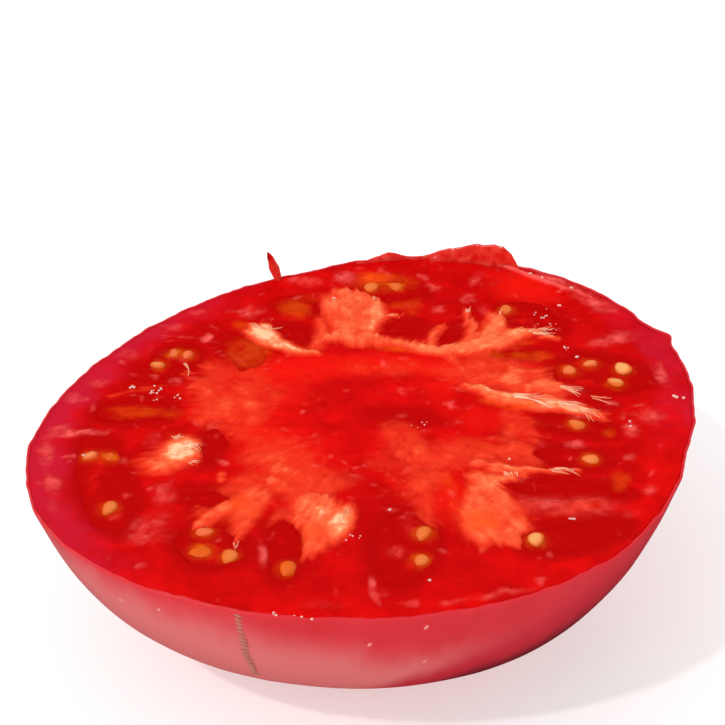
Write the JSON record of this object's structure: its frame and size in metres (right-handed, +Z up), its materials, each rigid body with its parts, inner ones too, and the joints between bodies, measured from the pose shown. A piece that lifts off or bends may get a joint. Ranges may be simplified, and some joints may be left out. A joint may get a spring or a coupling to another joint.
{
  "type": "halved beefsteak tomato",
  "caption": "Half of a ripe beefsteak tomato, cut across, lying cut face up, with seed jelly and seeds in its locules.",
  "frame": {"origin": "on the surface that the half lies on, under the middle of its outline", "axes": "+Z up, square to the cut face; +X along the longer way across the face; +Y towards the torn side of the rim"},
  "size_m": [0.1172, 0.1084, 0.0444],
  "materials": {
    "tomato_skin_and_flesh": "wet cut flesh, and thin glossy skin",
    "seed_jelly": "wet, translucent, very glossy",
    "seed": "pale seed in a wet sac"
  },
  "bodies": {
    "root": {"tomato_half": "tomato_skin_and_flesh", "seed_jelly_01": "seed_jelly", "seed_jelly_02": "seed_jelly", "seed_jelly_03": "seed_jelly", "seed_jelly_04": "seed_jelly", "seed_jelly_05": "seed_jelly", "seed_jelly_06": "seed_jelly", "seed_jelly_07": "seed_jelly", "seed_jelly_08": "seed_jelly", "seed_jelly_09": "seed_jelly", "seed_jelly_10": "seed_jelly", "seed_jelly_11": "seed_jelly", "seed_jelly_12": "seed_jelly", "seed_jelly_13": "seed_jelly", "seed_jelly_14": "seed_jelly", "seed_jelly_15": "seed_jelly", "seed_jelly_16": "seed_jelly", "seed_jelly_17": "seed_jelly", "seed_jelly_18": "seed_jelly", "seed_jelly_19": "seed_jelly", "seed_jelly_20": "seed_jelly", "seed_jelly_21": "seed_jelly", "seed_01": "seed", "seed_02": "seed", "seed_03": "seed", "seed_04": "seed", "seed_05": "seed", "seed_06": "seed", "seed_07": "seed", "seed_08": "seed", "seed_09": "seed", "seed_10": "seed", "seed_11": "seed", "seed_12": "seed", "seed_13": "seed", "seed_14": "seed", "seed_15": "seed", "seed_16": "seed", "seed_17": "seed", "seed_18": "seed", "seed_19": "seed", "seed_20": "seed", "seed_21": "seed", "seed_22": "seed"}
  },
  "joints": []
}
